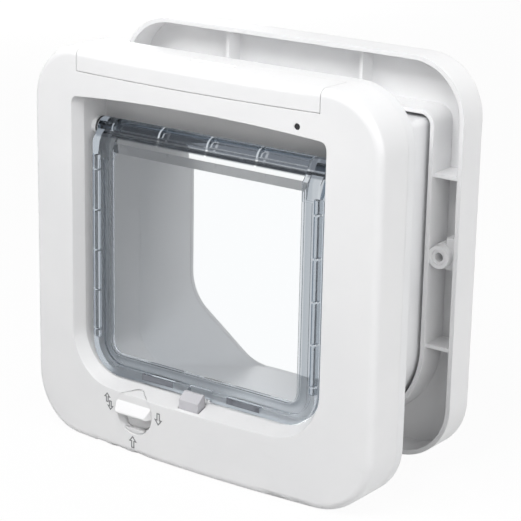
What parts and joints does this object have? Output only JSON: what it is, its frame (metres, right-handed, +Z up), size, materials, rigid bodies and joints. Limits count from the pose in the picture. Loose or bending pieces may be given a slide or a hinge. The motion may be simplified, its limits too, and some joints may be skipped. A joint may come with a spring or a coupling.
{
  "type": "cat flap",
  "caption": "Door-mounted cat flap with a clear swinging flap, electronic latch, manual lock knob, battery bay, tunnel and outside frame.",
  "frame": {"origin": "middle of the bounding box in X and Y, at the inside unit's bottom face", "axes": "+X to the right seen from the room, +Y through the door towards the outside, +Z up"},
  "size_m": [0.21, 0.0982, 0.2096],
  "materials": {
    "white_plastic": "satin, finely textured",
    "clear_plastic": "clear, polished",
    "grey_plastic": "satin",
    "black_plastic": "polished",
    "inner_plastic": "matt",
    "magnet": "dark, nickel-washed",
    "steel": "bright",
    "cell_wrap": "gloss wrap",
    "contact": "nickel plate",
    "board": "solder mask",
    "led": "clear package",
    "copper": "enamelled wire",
    "solenoid": "zinc plate"
  },
  "bodies": {
    "unit": {"front_housing": "white_plastic", "tunnel_housing": "white_plastic", "outside_frame": "white_plastic", "sill_magnets": "magnet", "hinge_pins": "steel", "housing_screws": "steel", "latch_solenoid": "solenoid", "lock_bracket": "inner_plastic", "battery_tray": "inner_plastic", "aa_cells": "cell_wrap", "contact_leaves": "contact", "contact_plates": "contact", "circuit_board": "board", "status_led": "led", "indicator_lens": "black_plastic", "learn_switch": "black_plastic", "antenna_coil": "copper"},
    "swing": {"flap": "clear_plastic", "flap_magnets": "magnet"},
    "catch": {"latch_catch": "grey_plastic"},
    "knob": {"lock_knob": "white_plastic", "lock_crank": "inner_plastic", "crank_pin": "steel"},
    "bolt": {"lock_bolt": "inner_plastic"},
    "cover": {"battery_cover": "white_plastic"},
    "button": {"learn_button": "black_plastic"}
  },
  "joints": [
    {"name": "flap_swing", "type": "hinge", "parent": "unit", "child": "swing", "pos_m": [0, -0.0263, 0.1627], "axis": [1, 0, 0], "range_deg": [0, 85]},
    {"name": "catch_slide", "type": "slide", "parent": "unit", "child": "catch", "axis": [0, 0, 1], "range_m": [-0.006, 0], "stiffness_N_per_m": 150},
    {"name": "knob_turn", "type": "hinge", "parent": "unit", "child": "knob", "pos_m": [-0.034, -0.0423, 0.0234], "axis": [0, -1, 0], "range_deg": [-90, 90]},
    {"name": "bolt_slide", "type": "slide", "parent": "unit", "child": "bolt", "axis": [0, 0, 1], "range_m": [-0.004, 0.004]},
    {"name": "cover_lift", "type": "slide", "parent": "unit", "child": "cover", "axis": [0, 0, 1], "range_m": [0, 0.02]},
    {"name": "button_press", "type": "slide", "parent": "unit", "child": "button", "axis": [0, 1, 0], "range_m": [0, 0.001], "stiffness_N_per_m": 400}
  ],
  "couplings": [
    {"joint": "bolt_slide", "follows": "knob_turn", "m_per_rad": 0.002546}
  ]
}
